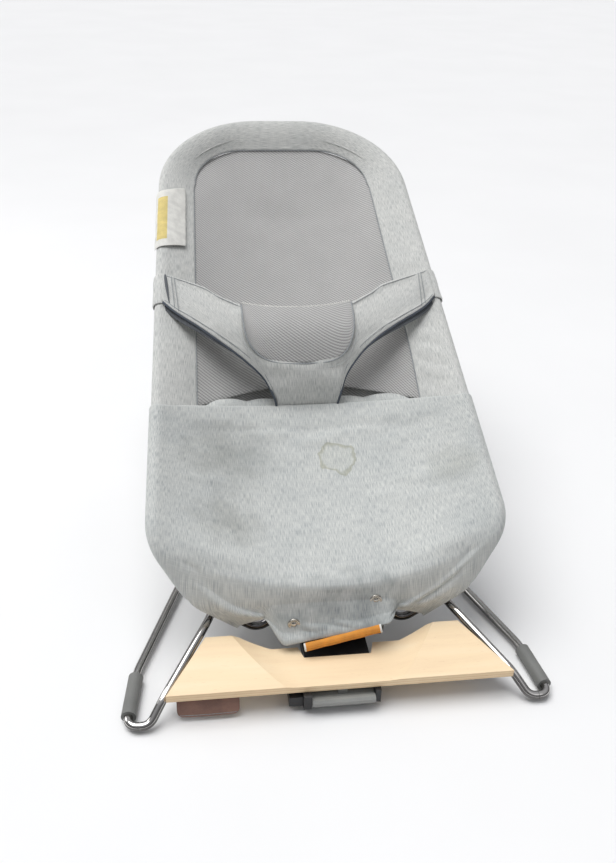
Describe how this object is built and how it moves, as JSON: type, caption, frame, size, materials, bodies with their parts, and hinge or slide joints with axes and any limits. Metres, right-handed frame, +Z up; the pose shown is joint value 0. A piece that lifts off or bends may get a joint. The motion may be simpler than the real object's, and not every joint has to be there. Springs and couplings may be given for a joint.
{
  "type": "bouncer seat",
  "caption": "Folding baby bouncer: fabric sling with mesh back on a reclining rod ring, carried by a sprung rod frame with a wooden foot board and a locking hub.",
  "frame": {"origin": "on the floor, under the centre of the object's outline", "axes": "+Z up, the front of the seat faces -Y, +X towards the sitter's left"},
  "size_m": [0.4678, 0.7811, 0.4531],
  "materials": {
    "chrome_rod": "polished",
    "seat_rod": "polished",
    "foot_rubber": "matte",
    "beech": "satin lacquer",
    "zinc_steel": "satin",
    "leather": "matte",
    "black_plastic": "fine texture",
    "grey_plastic": "satin",
    "woven_fabric": "melange weave",
    "spacer_mesh": "open mesh",
    "binding": "woven tape",
    "snap_metal": "polished",
    "label_orange": "smooth",
    "label_white": "smooth"
  },
  "bodies": {
    "floor_frame": {"floor_rod": "chrome_rod", "foot_sleeve_front_left": "foot_rubber", "foot_sleeve_front_right": "foot_rubber", "foot_sleeve_rear_left": "foot_rubber", "foot_sleeve_rear_right": "foot_rubber"},
    "spring_frame": {"spring_arm_rod": "chrome_rod", "foot_board": "beech", "board_bracket_left": "zinc_steel", "board_bracket_right": "zinc_steel", "board_screws": "zinc_steel", "leather_tag": "leather", "hub_housing": "black_plastic", "hub_cover": "black_plastic", "hub_screws": "zinc_steel", "lever_bracket": "black_plastic", "lever_pin": "zinc_steel", "lever_spring": "zinc_steel", "latch_spring": "zinc_steel"},
    "seat": {"seat_rod": "seat_rod", "hub_disc_left": "grey_plastic", "hub_disc_right": "grey_plastic", "hub_axle": "zinc_steel", "recline_ratchet": "zinc_steel", "hem_left": "woven_fabric", "hem_right": "woven_fabric", "hem_head": "woven_fabric", "back_rim": "woven_fabric", "back_mesh": "spacer_mesh", "seat_pocket": "woven_fabric", "leg_panel": "woven_fabric", "front_flap": "woven_fabric", "flap_snap_left": "snap_metal", "flap_snap_right": "snap_metal", "rolled_label": "label_orange", "restraint_strap": "woven_fabric", "crotch_strap": "woven_fabric", "strap_mesh": "spacer_mesh", "strap_end_left": "binding", "strap_end_right": "binding", "side_label": "label_white"},
    "lever": {"release_lever": "grey_plastic"},
    "latch": {"latch_slide": "zinc_steel"}
  },
  "joints": [
    {"name": "bounce", "type": "hinge", "parent": "floor_frame", "child": "spring_frame", "pos_m": [0, -0.3858, 0.0076], "axis": [1, 0, 0], "range_deg": [-2.5, 2.5], "stiffness_Nm_per_rad": 600, "springref_deg": 0.72},
    {"name": "recline", "type": "hinge", "parent": "spring_frame", "child": "seat", "pos_m": [0, -0.2778, 0.046], "axis": [1, 0, 0], "range_deg": [-27, 8]},
    {"name": "release", "type": "hinge", "parent": "spring_frame", "child": "lever", "pos_m": [0, -0.3678, 0.014], "axis": [-1, 0, 0], "range_deg": [0, 12], "stiffness_Nm_per_rad": 0.3, "springref_deg": -11.46},
    {"name": "latch", "type": "slide", "parent": "spring_frame", "child": "latch", "axis": [0, 1, 0], "range_m": [0, 0.00209], "stiffness_N_per_m": 400, "springref_m": -0.003}
  ],
  "couplings": [
    {"joint": "release", "follows": "latch", "rad_per_m": 100}
  ]
}
